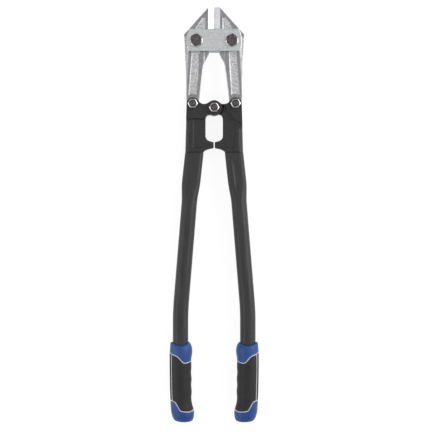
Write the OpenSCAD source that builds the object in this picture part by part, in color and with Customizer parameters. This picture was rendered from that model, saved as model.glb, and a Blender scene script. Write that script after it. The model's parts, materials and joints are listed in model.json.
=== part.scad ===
// Bolt cutters of the 24 inch class, lying on their back face with the jaws closed.
// X runs across the tool, Y along it with the jaw tips at +Y, and Z up from the bench.
// Pieces that come in pairs are drawn for the right-hand side, x > 0, and mirrored for the left.

/* [Overall] */
// Length over the closed tool, from the jaw tips to the ends of the grips
overall_length = 610; // [590:5:640]

/* [Jaws] */
// Thickness of a forged jaw
jaw_thickness = 11; // [10:0.5:12]
// From the tips down to the line of the two jaw pivots
jaw_reach = 49.8; // [49:0.2:51]
// From the jaw pivots down to the toggle pivots
jaw_tail = 92.8; // [92:0.1:93.4]
// Half the distance between the two jaw pivots
jaw_pivot_x = 26.2; // [26:0.1:26.6]
// Width of the ground bevel beside each cutting edge
bevel_width = 8.7; // [8:0.1:9.4]
// Gap from the middle line to each cutting edge
edge_gap = 0.15; // [0.1:0.05:0.3]
// Depth of the forged pockets in both faces of a jaw
pocket_depth = 0.9; // [0.5:0.1:1.5]

/* [Link plates] */
// Thickness of the front and back link plates
plate_thickness = 4.25; // [4:0.05:5]
// Height of the plates along the tool
plate_height = 32.8; // [32:0.2:34]

/* [Handle heads] */
// Half the distance between the two toggle pivots
toggle_x = 31.4; // [31.1:0.1:31.7]
// How far the centre pivot lies below the toggle pivots when the jaws are closed
centre_drop = 5.9; // [5.7:0.1:6.1]
// Thickness of the forged heads over their raised cheeks
head_thickness = 21; // [20.5:0.5:21.5]
// Thickness of the flat web between the hole and the outer rib
web_thickness = 14; // [13:0.5:15]
// Half the gap between the two stops when the jaws are closed
stop_gap = 0.8; // [0.5:0.1:1]

/* [Handle tubes] */
// Outer diameter of the round tube
tube_od = 22; // [21.5:0.1:22]
// Wall thickness of the tube
tube_wall = 2; // [1.6:0.1:2.2]
// Distance of the gripped, straight end of each tube from the middle line
grip_x = 49.6; // [48:0.2:51]

/* [Grips] */
// Length of a grip
grip_length = 117; // [116:1:122]
// Radius of the grip where the hand holds it
grip_r = 16.2; // [15.8:0.1:16.3]

/* [Fasteners] */
// Radius of the shanks and shoulders that the jaws and heads turn on
pin_r = 5; // [4.8:0.1:5]
// Width across the flats of the jaw bolts and their nuts
jaw_bolt_af = 16; // [16:1:17]
// Width across the flats of the nuts on the toggle and centre bolts
toggle_nut_af = 13; // [13:1:14]

/* [Hidden] */
$fn = 96;

steel = [0.66, 0.67, 0.68];
black_oxide = [0.12, 0.11, 0.12];
zinc = [0.75, 0.75, 0.73];
black_enamel = [0.2, 0.2, 0.21];
grip_blue = [0.16, 0.31, 0.66];
grip_black = [0.18, 0.18, 0.18];
grip_grey = [0.66, 0.68, 0.72];

tip_y = overall_length / 2;
grip_end_y = -overall_length / 2;
jaw_pivot = [jaw_pivot_x, tip_y - jaw_reach];
toggle = [toggle_x, jaw_pivot.y - jaw_tail];
centre = [0, toggle.y - centre_drop];
overshoot = 1;

running_gap = 0.06;      // between a pin and the bore that turns on it
face_gap = 0.15;         // between a jaw and a link plate
fork_gap = 0.2;          // between a fork's cheek and what turns inside it
centre_float = 1.95;     // how far the two heads' centre bores move apart as the handles open
washer_thickness = 1.5;
washer_r = 9.25;
jaw_nut_height = 5.2;
jaw_head_height = 6.4;
toggle_head_height = 5.3;
toggle_head_af = 15;
toggle_nut_height = 6.5;
thread_r = 4;
plate_face = jaw_thickness / 2 + face_gap + plate_thickness;
middle_height = plate_face + washer_thickness + jaw_nut_height;

heel_depth = 2;          // how far a jaw's heel, beside the arch, is stepped down on each face
tail_r = 9.2;            // round end of a jaw's tail
ear_r = 9.2;             // round cheek over a toggle pivot
centre_ear_r = 11;     // round ear over the centre pivot
ear_clear_r = centre_ear_r + centre_float + 0.6;
tongue_half = jaw_thickness / 2;
slot_half = tongue_half + fork_gap;
hole_x = 12.7;           // half the width of the hole between the heads
head_bottom_y = centre.y - 65.1;
tube_top = [29.5, head_bottom_y];
flat_half_width = 13.2;  // half the width of the tube where it is pressed flat round the tang
head_outer_x = tube_top.x + flat_half_width;
rib_x = 30.7;            // inner edge of the outer rib that carries on the line of the tube
rib_half = 8.5;
collar_band = 6.6;       // height of the thicker band that the web ends in, above the tube

flat_half_depth = 7.3;
upper_slope = tan(6.2);
lower_slope = tan(4.65);
flat_length = 42;        // pressed flat from the head to here
round_from = 76;         // round from here on
elbow_at = 52;           // middle of the slight bend below the head
elbow_length = 30;
knee_length = 34;        // length of the bend above the grip
tube_end_y = grip_end_y + 6;
tube_sides = 24;
knee_at = elbow_at + (grip_x - tube_top.x - upper_slope * elbow_at) / lower_slope;
tang_length = 38;
tang_slack = 0.35;

core_r = 13;             // outside of the hard sleeve that the soft pieces are moulded onto
core_bore_r = tube_od / 2 + 0.05;
piping_width = 1.6;
rib_line_x = 13.7;       // distance of the straight piping from the grip's axis, on its outer side
rib_line_width = 1.5;
rim_sag = 4.5;           // how far the collar's rim dips at the front and back

// Points of a circular arc, and of a curve that leaves a towards b and arrives at c from b.
function arc(centre, r, from, to, steps = 12) =
    [for (i = [0 : steps]) let (a = from + (to - from) * i / steps) centre + r * [cos(a), sin(a)]];
function curve(a, b, c, steps = 8) =
    [for (i = [0 : steps]) let (t = i / steps) (1 - t) * (1 - t) * a + 2 * t * (1 - t) * b + t * t * c];

// The same points on the other side of the middle line, in the opposite order.
function mirrored(points) = [for (i = [len(points) - 1 : -1 : 0]) [-points[i].x, points[i].y]];

// Draws its children on the right, or mirrored on the left.
module on_side(side) {
    if (side == "left") mirror([1, 0, 0]) children();
    else children();
}

// A flat outline as a plate between two heights over the middle plane.
module slab(from, to) {
    translate([0, 0, middle_height + from]) linear_extrude(to - from) children();
}

// A round bar or cutter between two heights over the middle plane.
module post(at, r, from, to) {
    translate([at.x, at.y, middle_height + from]) cylinder(r = r, h = to - from);
}

// A hexagon prism with its corners turned off at the top, and at the bottom too if both is true.
module hex_prism(at, across_flats, from, to, both = false, turn = 0) {
    corner_r = across_flats / 2 / cos(30);
    height = to - from;
    bite = (corner_r - across_flats / 2) * tan(30) + 0.25;
    crown_r = across_flats / 2 - 0.25;
    translate([at.x, at.y, middle_height + from]) rotate([0, 0, turn]) intersection() {
        cylinder(r = corner_r, h = height, $fn = 6);
        union() {
            translate([0, 0, both ? bite : 0]) cylinder(r = corner_r + 0.3, h = height - (both ? 2 : 1) * bite);
            translate([0, 0, height - bite]) cylinder(r1 = corner_r + 0.3, r2 = crown_r, h = bite);
            if (both) cylinder(r1 = crown_r, r2 = corner_r + 0.3, h = bite);
        }
    }
}

// ---- Jaws: drop-forged blades, ground to a centre-cut edge ----

module jaw_outline() {
    tip_flat = 8;
    shoulder = [44.4, tip_y - 40.8];
    polygon(concat(
        [[edge_gap, tip_y - 43], [edge_gap, tip_y], [tip_flat, tip_y]],
        curve(shoulder, [42, jaw_pivot.y - 22], [toggle.x + tail_r, toggle.y]),
        [[toggle.x - tail_r, toggle.y], [22.2, toggle.y + 7]],
        curve([19.9, toggle.y + 21.6], [17.2, jaw_pivot.y - 46], [15.5, jaw_pivot.y - 35.2]),
        [[13.7, jaw_pivot.y - 29.6], [10.3, jaw_pivot.y - 24.1], [6.5, jaw_pivot.y - 16],
            [1.6, jaw_pivot.y - 4]]));
}

// The long pocket down the tail ends in an arc round the toggle pivot.
module tail_pocket_outline() {
    end_r = 14;
    polygon(concat([[21.7, jaw_pivot.y - 15.2], [32.7, jaw_pivot.y - 15.2]], arc(toggle, end_r, 64, 115)));
}

// The three-cornered pocket beside the bevel has a blunt top and runs on under the link plate.
module nose_pocket_outline() {
    corner_r = 1.4;
    left = 12.5;
    top = tip_y - 15;
    bottom = tip_y - 35;
    polygon(concat(
        [[left, bottom]],
        arc([left + corner_r, top - corner_r], corner_r, 180, 90),
        arc([left + 3.6, top - corner_r], corner_r, 90, 33),
        [[29.4, bottom]]));
}

// The heel beside the arch is stepped down towards the middle line.
module heel_outline() {
    polygon([[15.2, jaw_pivot.y - 9], [15.2, jaw_pivot.y - 34], [4, jaw_pivot.y - 34], [4, jaw_pivot.y - 9]]);
}

module bevel_cutter() {
    land = 0.35;
    length = 39;
    half = jaw_thickness / 2;
    translate([0, tip_y + overshoot, middle_height]) rotate([90, 0, 0]) linear_extrude(length + overshoot)
        polygon([[-overshoot, land], [edge_gap, land], [edge_gap + bevel_width, half],
            [edge_gap + bevel_width, half + overshoot], [-overshoot, half + overshoot]]);
}

module jaw(side) {
    half = jaw_thickness / 2;
    color(steel) on_side(side) difference() {
        union() {
            slab(-half, half) jaw_outline();
            post(toggle, tail_r, -half, half);
        }
        for (face = [0, 1]) translate([0, 0, face * 2 * middle_height]) mirror([0, 0, face]) {
            bevel_cutter();
            slab(half - pocket_depth, half + overshoot) tail_pocket_outline();
            slab(half - pocket_depth, half + overshoot) nose_pocket_outline();
            slab(half - heel_depth, half + overshoot) heel_outline();
        }
        post(jaw_pivot, pin_r + running_gap, -half - overshoot, half + overshoot);
        post(toggle, pin_r + running_gap, -half - overshoot, half + overshoot);
    }
}

// ---- Link plates and the bolts through them ----

module plate_outline() {
    bottom = jaw_pivot.y - 15.8;
    top = bottom + plate_height;
    side = 40.4;
    right = concat(
        curve([37.8, bottom], [side, bottom + 6], [side, jaw_pivot.y]),
        curve([side, jaw_pivot.y], [side, top - 6], [36, top]));
    polygon(concat(right, mirrored(right)));
}

module link_plate(from) {
    color(steel) difference() {
        slab(from, from + plate_thickness) plate_outline();
        for (side = ["left", "right"]) on_side(side)
            post(jaw_pivot, pin_r + running_gap, from - overshoot, from + plate_thickness + overshoot);
    }
}

module washers(from) {
    color(zinc) for (side = ["left", "right"]) on_side(side) difference() {
        post(jaw_pivot, washer_r, from, from + washer_thickness);
        post(jaw_pivot, pin_r + 0.25, from - overshoot, from + washer_thickness + overshoot);
    }
}

module jaw_bolt(side, turn) {
    seat = plate_face + washer_thickness;
    color(black_oxide) on_side(side) {
        hex_prism(jaw_pivot, jaw_bolt_af, seat, seat + jaw_head_height, turn = turn);
        post(jaw_pivot, pin_r, -middle_height, seat);
    }
}

module jaw_nut(side) {
    color(black_oxide) on_side(side) difference() {
        hex_prism(jaw_pivot, jaw_bolt_af, -middle_height, jaw_nut_height - middle_height, both = true);
        post(jaw_pivot, pin_r + 0.03, -middle_height - overshoot, jaw_nut_height - middle_height + overshoot);
    }
}

// ---- Handle heads: forgings that fork over the jaw tails and meet at the centre bolt ----

// The flat plan of a head, from its stop and the hole to the outer edge, with the arm to the centre.
module head_plan() {
    valley_start = toggle + ear_r * [cos(150), sin(150)];
    valley_end = centre + centre_ear_r * [cos(56), sin(56)];
    hole_top = centre.y - 9.3;
    stop_top = head_bottom_y + 14.6;
    polygon(concat(
        [[stop_gap, stop_top], [stop_gap, stop_top - 7.8]],
        curve([stop_gap + 1.5, stop_top - 8.8], [11.5, head_bottom_y + 5], [16.4, head_bottom_y]),
        [[head_outer_x, head_bottom_y], [toggle.x + ear_r, toggle.y], toggle],
        curve(valley_start, [16.6, toggle.y - 4.8], valley_end),
        [centre],
        curve([5.3, centre.y - 9.6], [hole_x, hole_top + 0.4], [hole_x, hole_top - 8.5]),
        curve([hole_x, stop_top + 10], [hole_x, stop_top + 3], [5.8, stop_top + 1.4])));
}

// The tang that the tube is pressed onto, an oblong bar along the tube's upper slope.
module tang() {
    half_width = flat_half_width - tube_wall - tang_slack;
    half_depth = flat_half_depth - tube_wall - tang_slack;
    translate([tube_top.x, tube_top.y + overshoot, middle_height]) rotate([0, 0, atan(upper_slope)])
        rotate([90, 0, 0]) linear_extrude(tang_length + overshoot) {
            square([2 * (half_width - half_depth), 2 * half_depth], center = true);
            for (end = [-1, 1]) translate([end * (half_width - half_depth), 0]) circle(r = half_depth);
        }
}

// Everything of a head but its cheeks: web, outer rib and tang.
module head_bar() {
    slab(-web_thickness / 2, web_thickness / 2) head_plan();
    slab(-rib_half, rib_half) intersection() {
        head_plan();
        translate([rib_x, head_bottom_y]) square([20, toggle.y - head_bottom_y]);
    }
    slab(-rib_half, rib_half) intersection() {
        head_plan();
        translate([14, head_bottom_y]) square([20, collar_band]);
    }
    tang();
}

// The room for the jaw's tail between the cheeks, open on the side to which the jaw swings.
module tail_slot() {
    clear_r = tail_r + 0.6;
    post(toggle, clear_r, -slot_half, slot_half);
    slab(-slot_half, slot_half) translate([toggle.x - 11.4, toggle.y]) square([30, 20]);
    slab(-slot_half, slot_half) translate([toggle.x, toggle.y - clear_r]) square([20, 30]);
}

// The left head carries the fork over the centre pivot, so its cheeks reach from ear to ear.
module left_cheek_plan() {
    intersection() {
        head_plan();
        translate([0, centre.y - 16.2]) square([50, 40]);
    }
}

// The right head has cheeks round the toggle pivot only, cut off along a slanting line.
module right_cheek_plan() {
    intersection() {
        head_plan();
        polygon([[10.6, centre.y + 9], [29.2, centre.y - 17], [34.2, centre.y - 20.3],
            [45, centre.y - 25.5], [45, toggle.y + 15], [10.6, toggle.y + 15]]);
    }
}

module head(side) {
    half = head_thickness / 2;
    color(black_enamel) on_side(side) difference() {
        union() {
            head_bar();
            post(toggle, ear_r, -half, half);
            if (side == "left") {
                slab(-half, half) left_cheek_plan();
                post(centre, centre_ear_r, -half, half);
            } else {
                slab(-half, half) right_cheek_plan();
                post(centre, centre_ear_r, -tongue_half, tongue_half);
            }
        }
        tail_slot();
        post(toggle, pin_r + 0.05, -half - overshoot, half + overshoot);
        if (side == "left") {
            post(centre, ear_clear_r, -slot_half, slot_half);
            post(centre, pin_r + 0.05, -half - overshoot, half + overshoot);
        } else {
            for (face = [0, 1]) translate([0, 0, face * 2 * middle_height]) mirror([0, 0, face])
                post(centre, ear_clear_r, tongue_half, half + overshoot);
            post(centre, pin_r + centre_float + 0.15, -half - overshoot, half + overshoot);
        }
    }
}

// A shouldered bolt with its head at the back and its thread at the front, and the nut on it.
module shoulder_bolt(at) {
    half = head_thickness / 2;
    shoulder = half + 0.05;
    color(black_oxide) {
        translate([0, 0, 2 * middle_height]) mirror([0, 0, 1])
            hex_prism(at, toggle_head_af, half, half + toggle_head_height);
        post(at, pin_r, -half, shoulder);
        post(at, thread_r, shoulder, shoulder + toggle_nut_height + 0.7);
        translate([at.x, at.y, middle_height + shoulder + toggle_nut_height + 0.7])
            cylinder(r1 = thread_r, r2 = thread_r - 0.5, h = 0.5);
    }
}

module shoulder_nut(at) {
    seat = head_thickness / 2 + 0.05;
    color(zinc) difference() {
        hex_prism(at, toggle_nut_af, seat, seat + toggle_nut_height, both = true);
        post(at, thread_r + 0.03, seat - overshoot, seat + toggle_nut_height + overshoot);
    }
}

// ---- Handle tubes: round tube, pressed flat round the tang, with an elbow and a knee ----

// The rise of a slope that eases in from 0 to 1 over a unit length.
function eased(u) = u < 0 ? 0 : u < 1 ? u * u / 2 : u - 0.5;
function smooth(u) = let (t = max(0, min(1, u))) t * t * (3 - 2 * t);

// Sideways place of the tube's middle line at a distance s below the head.
function elbow_u(s) = (s - elbow_at) / elbow_length + 0.5;
function knee_u(s) = (s - knee_at) / knee_length + 0.5;
function tube_x(s) = tube_top.x + upper_slope * s
    + (lower_slope - upper_slope) * elbow_length * eased(elbow_u(s)) - lower_slope * knee_length * eased(knee_u(s));

// One ring of the tube's outside or, with inset, its inside: an oblong that turns into a circle.
function tube_ring(s, inset) =
    let (to_round = smooth((s - flat_length) / (round_from - flat_length)),
        depth = flat_half_depth + (tube_od / 2 - flat_half_depth) * to_round,
        width = flat_half_width + (tube_od / 2 - flat_half_width) * to_round)
    [for (i = [0 : tube_sides - 1]) let (a = (i + 0.5) * 360 / tube_sides,
        across = (depth - inset) * cos(a) + (width - depth) * sign(cos(a)))
        [tube_x(s) + across, tube_top.y - s, middle_height + (depth - inset) * sin(a)]];

module tube(side) {
    tube_length = tube_top.y - tube_end_y;
    knee_from = knee_at - knee_length / 2;
    stations = concat(
        [0, 0.5 * flat_length],
        [for (i = [0 : 6]) flat_length + (round_from - flat_length) * i / 6],
        [0.5 * (round_from + knee_from)],
        [for (i = [0 : 6]) knee_from + knee_length * i / 6],
        [tube_length]);
    rings = len(stations);
    n = tube_sides;
    points = concat(
        [for (s = stations) each tube_ring(s, 0)],
        [for (s = stations) each tube_ring(s, tube_wall)]);
    inner = rings * n;
    faces = concat(
        [for (j = [0 : rings - 2], i = [0 : n - 1]) let (k = (i + 1) % n)
            [j * n + i, j * n + k, (j + 1) * n + k, (j + 1) * n + i]],
        [for (j = [0 : rings - 2], i = [0 : n - 1]) let (k = (i + 1) % n)
            [inner + j * n + i, inner + (j + 1) * n + i, inner + (j + 1) * n + k, inner + j * n + k]],
        [for (i = [0 : n - 1]) let (k = (i + 1) % n) [i, inner + i, inner + k, k]],
        [for (i = [0 : n - 1]) let (k = (i + 1) % n, last = (rings - 1) * n)
            [last + i, last + k, inner + last + k, inner + last + i]]);
    color(black_enamel) on_side(side) polyhedron(points, faces);
}

// ---- Grips: a hard sleeve with a soft black hand piece, a blue collar and a blue end cap ----

// A solid turned about the grip's axis. The profile gives radius and distance up from the grip's end.
module turned(profile, shift = 0) {
    translate([grip_x + shift, grip_end_y, middle_height]) rotate([-90, 0, 0]) rotate_extrude() polygon(profile);
}

module grip_hull() {
    turned(concat(
        [[0, 0], [9, 0]],
        curve([10.5, 0.6], [grip_r - 0.8, 2.5], [grip_r - 0.8, 14]),
        [[grip_r, 40], [grip_r, grip_length - 26]],
        curve([grip_r, grip_length - 26], [grip_r + 0.6, grip_length - 16], [grip_r + 0.2, grip_length - 11]),
        curve([grip_r + 0.2, grip_length - 11], [grip_r - 0.8, grip_length - 2], [12.8, grip_length]),
        [[0, grip_length]]));
    turned(concat(
        [[0, 0], [9, 0]],
        curve([10, 0.2], [16.5, 1], [16.4, 12]),
        curve([16.4, 12], [16.2, 19], [14.3, 24]),
        [[0, 24]]), shift = -3);
}

// The two wavy seams, as points from the outer side to the inner side, over the grip's end.
collar_seam = concat(
    curve([20, 101.6], [9, 98.8], [3, 94.5], 6),
    curve([-1, 90.4], [-5, 85.8], [-9, 86.1], 6),
    [[-20, 90.6]]);
cap_seam = concat(
    [[20, 31.9]],
    curve([11.5, 30.5], [7.2, 28.5], [5.5, 23], 6),
    curve([4.9, 20.5], [3.2, 16], [-2, 15.4], 6),
    [[-13, 14.7], [-24, 19]]);

function shifted(points, by) = [for (p = points) [p.x + grip_x, p.y + grip_end_y + by]];

module above_seam(seam, by) {
    slab(-25, 25) polygon(concat(shifted(seam, by), [[grip_x - 30, tip_y], [grip_x + 30, tip_y]]));
}

module below_seam(seam, by) {
    slab(-25, 25) polygon(concat(shifted(seam, by),
        [[grip_x - 30, grip_end_y - 10], [grip_x + 30, grip_end_y - 10]]));
}

module rib_line() {
    slab(-25, 25) translate([grip_x + rib_line_x - rib_line_width / 2, grip_end_y]) square([rib_line_width, 110]);
}

// What the soft pieces leave free: the hard sleeve with its closed end, a hair larger.
module core_room(grow) {
    top = grip_length - 9;
    turned([[0, 5 - grow], [core_r + grow, 5 - grow], [core_r + grow, top + grow], [0, top + grow]]);
}

module tube_room() {
    turned([[0, 6], [core_bore_r, 6], [core_bore_r, grip_length + overshoot], [0, grip_length + overshoot]]);
}

module grip_core(side) {
    color(grip_grey) on_side(side) difference() {
        union() {
            core_room(0);
            intersection() {
                grip_hull();
                union() {
                    difference() {
                        above_seam(collar_seam, -piping_width / 2);
                        above_seam(collar_seam, piping_width / 2);
                    }
                    difference() {
                        below_seam(cap_seam, piping_width / 2);
                        below_seam(cap_seam, -piping_width / 2);
                    }
                    difference() {
                        rib_line();
                        above_seam(collar_seam, 0);
                        below_seam(cap_seam, 0);
                    }
                }
            }
        }
        tube_room();
    }
}

module grip_sleeve(side) {
    color(grip_black) on_side(side) difference() {
        grip_hull();
        above_seam(collar_seam, -piping_width / 2);
        below_seam(cap_seam, piping_width / 2);
        rib_line();
        core_room(0.03);
    }
}

// What the collar's rim leaves free: it dips at the front and back, to both sides of the tube.
module rim_room() {
    rise = 30;
    dip = [for (i = [-5 : 5]) [rim_sag * pow(i / 5 * 1.3, 2), i / 5 * core_r * 1.3]];
    translate([grip_x - 25, grip_end_y + grip_length, middle_height]) rotate([90, 0, 90]) linear_extrude(50)
        polygon(concat([for (d = dip) [-d[0], d[1]]], [[rise, core_r * 1.3], [rise, -core_r * 1.3]]));
}

module grip_collar(side) {
    color(grip_blue) on_side(side) difference() {
        intersection() {
            grip_hull();
            above_seam(collar_seam, piping_width / 2);
        }
        core_room(0.03);
        tube_room();
        rim_room();
    }
}

module grip_cap(side) {
    color(grip_blue) on_side(side) difference() {
        intersection() {
            grip_hull();
            below_seam(cap_seam, -piping_width / 2);
        }
        core_room(0.03);
    }
}

link_plate(jaw_thickness / 2 + face_gap);  // front_plate
link_plate(-plate_face);  // back_plate
washers(plate_face);  // front_washers
washers(-plate_face - washer_thickness);  // back_washers
jaw_bolt("left", turn = 36);  // jaw_bolt_left
jaw_bolt("right", turn = 26);  // jaw_bolt_right
jaw_nut("left");  // jaw_nut_left
jaw_nut("right");  // jaw_nut_right
jaw("left");  // jaw_left
jaw("right");  // jaw_right
head("left");  // head_left
head("right");  // head_right
on_side("left") shoulder_bolt(toggle);  // toggle_bolt_left
shoulder_bolt(toggle);  // toggle_bolt_right
on_side("left") shoulder_nut(toggle);  // toggle_nut_left
shoulder_nut(toggle);  // toggle_nut_right
shoulder_bolt(centre);  // centre_bolt
shoulder_nut(centre);  // centre_nut
tube("left");  // tube_left
tube("right");  // tube_right
grip_core("left");  // grip_core_left
grip_core("right");  // grip_core_right
grip_sleeve("left");  // grip_sleeve_left
grip_sleeve("right");  // grip_sleeve_right
grip_collar("left");  // grip_collar_left
grip_collar("right");  // grip_collar_right
grip_cap("left");  // grip_cap_left
grip_cap("right");  // grip_cap_right
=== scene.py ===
import json
import math

import bmesh
import bpy
from mathutils import Matrix, Vector


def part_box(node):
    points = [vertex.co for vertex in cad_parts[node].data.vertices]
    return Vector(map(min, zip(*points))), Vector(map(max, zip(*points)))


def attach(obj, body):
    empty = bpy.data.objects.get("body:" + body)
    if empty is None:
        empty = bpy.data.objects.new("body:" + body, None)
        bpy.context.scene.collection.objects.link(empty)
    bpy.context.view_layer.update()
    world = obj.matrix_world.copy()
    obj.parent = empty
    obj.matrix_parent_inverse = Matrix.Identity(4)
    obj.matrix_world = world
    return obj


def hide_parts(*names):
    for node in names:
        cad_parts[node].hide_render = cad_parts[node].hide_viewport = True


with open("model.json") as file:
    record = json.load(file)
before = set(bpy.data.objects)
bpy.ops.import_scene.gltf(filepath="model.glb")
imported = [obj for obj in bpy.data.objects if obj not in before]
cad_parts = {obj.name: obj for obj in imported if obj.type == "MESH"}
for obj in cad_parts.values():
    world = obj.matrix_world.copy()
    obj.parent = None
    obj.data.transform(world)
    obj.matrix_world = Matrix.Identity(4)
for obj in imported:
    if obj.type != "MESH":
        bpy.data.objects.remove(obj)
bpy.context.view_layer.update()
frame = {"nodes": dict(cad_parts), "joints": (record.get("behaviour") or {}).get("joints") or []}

# ---- Jaws -------------------------------------------------------------------------------------
# Two drop forgings of chrome molybdenum steel, hardened and tempered. The raised lands keep their
# forged skin, the pockets are shot-blasted, the outer margin is milled, and the cutting bevels are
# ground last, which leaves them the brightest part of the tool.

MM = 0.001
SIDES = {"left": -1, "right": 1}
joints = {joint["name"]: joint for joint in frame["joints"]}
jaw_low, jaw_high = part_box("jaw_right")
middle = (jaw_low.z + jaw_high.z) / 2
jaw_half = (jaw_high.z - jaw_low.z) / 2
tip_y = jaw_high.y


def linear(hex_colour):
    """An sRGB hex colour as the linear RGBA that the shaders take."""
    parts = [int(hex_colour[i:i + 2], 16) / 255 for i in (1, 3, 5)]
    return [c / 12.92 if c <= 0.04045 else ((c + 0.055) / 1.055) ** 2.4 for c in parts] + [1.0]


def finish(name):
    """A new material, its node tree and its shader."""
    made = bpy.data.materials.new(name)
    made.use_nodes = True
    return made, made.node_tree, made.node_tree.nodes["Principled BSDF"]


def add(tree, kind, inputs=None, **settings):
    """A shader node with its settings; an input is a value or another node's socket."""
    made = tree.nodes.new("ShaderNode" + kind)
    for name, value in settings.items():
        setattr(made, name, value)
    for name, value in (inputs or {}).items():
        if isinstance(value, bpy.types.NodeSocket):
            tree.links.new(value, made.inputs[name])
        else:
            made.inputs[name].default_value = value
    return made


def joined_copy(node):
    """A copy of a CAD node with its corners joined and each flat face whole."""
    bm = bmesh.new()
    bm.from_mesh(frame["nodes"][node].data)
    bmesh.ops.remove_doubles(bm, verts=bm.verts, dist=0.002 * MM)
    bmesh.ops.dissolve_limit(bm, angle_limit=math.radians(0.4), verts=bm.verts, edges=bm.edges)
    return bm


def forged_copy(node, grain):
    """A copy of a CAD node in fine, even faces, ready for its edges to be softened."""
    mesh = bpy.data.meshes.new("blank")
    bm = joined_copy(node)
    bm.to_mesh(mesh)
    bm.free()
    blank = bpy.data.objects.new("blank", mesh)
    bpy.context.scene.collection.objects.link(blank)
    even = blank.modifiers.new("even_faces", "REMESH")
    even.mode = "VOXEL"
    even.voxel_size = grain
    bpy.context.view_layer.update()
    bm = bmesh.new()
    bm.from_object(blank, bpy.context.evaluated_depsgraph_get())
    bpy.data.objects.remove(blank)
    bpy.data.meshes.remove(mesh)
    return bm


def soften(bm, verts, rings, passes):
    """Relaxes the points and a few rings round them, which rounds what is sharp among them."""
    chosen = dict.fromkeys(verts)
    for _ in range(rings):
        chosen.update(dict.fromkeys([e.other_vert(v) for v in chosen for e in v.link_edges]))
    for _ in range(passes):
        bmesh.ops.smooth_vert(bm, verts=list(chosen), factor=0.5, use_axis_x=True, use_axis_y=True,
                              use_axis_z=True)
    bm.normal_update()


SHARP_FROM = math.radians(38)         # an edge that stands at more than this stays a sharp one
SEAM_SHARP_FROM = math.radians(14)    # the same, where two finishes meet


def piece(name, bm, body, replaced, materials):
    """The finished piece: it rides on its body and stands for its CAD nodes."""
    for face in bm.faces:
        face.smooth = True
    for edge in bm.edges:
        turn = edge.calc_face_angle(0)
        finishes = {face.material_index for face in edge.link_faces}
        edge.smooth = turn < (SHARP_FROM if len(finishes) == 1 else SEAM_SHARP_FROM)
    mesh = bpy.data.meshes.new(name)
    bm.to_mesh(mesh)
    bm.free()
    obj = bpy.data.objects.new(name, mesh)
    bpy.context.scene.collection.objects.link(obj)
    for material in materials:
        mesh.materials.append(material)
    even = obj.modifiers.new("even_normals", "WEIGHTED_NORMAL")
    even.keep_sharp = True
    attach(obj, body)
    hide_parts(*replaced)
    return obj


# Forged skin: a dull grey with slow, cloudy changes of tone and small hammer-scale pits.
forged_skin, tree, shader = finish("forged_steel_tempered")
place = add(tree, "TexCoord").outputs["Object"]
cloud = add(tree, "TexNoise", {"Vector": place, "Scale": 1 / (4.5 * MM), "Detail": 5.0, "Roughness": 0.7})
tone = add(tree, "ValToRGB", {"Fac": cloud.outputs["Fac"]})
tone.color_ramp.elements[0].position = 0.3
tone.color_ramp.elements[0].color = linear("#8E8E92")
tone.color_ramp.elements[1].position = 0.72
tone.color_ramp.elements[1].color = linear("#B8B8BC")
tree.links.new(tone.outputs["Color"], shader.inputs["Base Color"])
# Scale pits are about 0.3 mm across on the tool; they are drawn at 1.6 mm so that they show.
pits = add(tree, "TexNoise", {"Vector": place, "Scale": 1 / (1.6 * MM), "Detail": 3.0, "Roughness": 0.65})
relief = add(tree, "Bump", {"Height": pits.outputs["Fac"], "Strength": 0.22, "Distance": 0.25 * MM})
tree.links.new(relief.outputs["Normal"], shader.inputs["Normal"])
shader.inputs["Metallic"].default_value = 1.0
shader.inputs["Roughness"].default_value = 0.44

# Shot-blasted floor: the grit leaves a pale, sparkling, even roughness.
blasted_floor, tree, shader = finish("forged_steel_shot_blasted")
place = add(tree, "TexCoord").outputs["Object"]
# Grit craters are about 0.2 mm across; they are drawn at 2.4 mm so that they show.
grit = add(tree, "TexNoise", {"Vector": place, "Scale": 1 / (2.4 * MM), "Detail": 5.0, "Roughness": 0.75})
tone = add(tree, "ValToRGB", {"Fac": grit.outputs["Fac"]})
tone.color_ramp.elements[0].position = 0.34
tone.color_ramp.elements[0].color = linear("#A6A6A8")
tone.color_ramp.elements[1].position = 0.68
tone.color_ramp.elements[1].color = linear("#FFFFFF")
tree.links.new(tone.outputs["Color"], shader.inputs["Base Color"])
relief = add(tree, "Bump", {"Height": grit.outputs["Fac"], "Strength": 0.4, "Distance": 0.3 * MM})
tree.links.new(relief.outputs["Normal"], shader.inputs["Normal"])
shader.inputs["Metallic"].default_value = 1.0
shader.inputs["Roughness"].default_value = 0.52

# Ground bevel: the wheel leaves fine straight lines and the cleanest, brightest metal on the tool.
ground_bevel, tree, shader = finish("tool_steel_ground")
place = add(tree, "TexCoord").outputs["Object"]
stretched = add(tree, "Mapping", {"Vector": place, "Scale": (1 / (14 * MM), 1 / (0.9 * MM), 1 / (14 * MM))})
lines = add(tree, "TexNoise", {"Vector": stretched.outputs["Vector"], "Scale": 1.0, "Detail": 3.0})
tone = add(tree, "ValToRGB", {"Fac": lines.outputs["Fac"]})
tone.color_ramp.elements[0].position = 0.3
tone.color_ramp.elements[0].color = linear("#E4E4E6")
tone.color_ramp.elements[1].position = 0.7
tone.color_ramp.elements[1].color = linear("#F1F1F3")
tree.links.new(tone.outputs["Color"], shader.inputs["Base Color"])
relief = add(tree, "Bump", {"Height": lines.outputs["Fac"], "Strength": 0.06, "Distance": 0.1 * MM})
tree.links.new(relief.outputs["Normal"], shader.inputs["Normal"])
shader.inputs["Metallic"].default_value = 1.0
shader.inputs["Roughness"].default_value = 0.34

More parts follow.
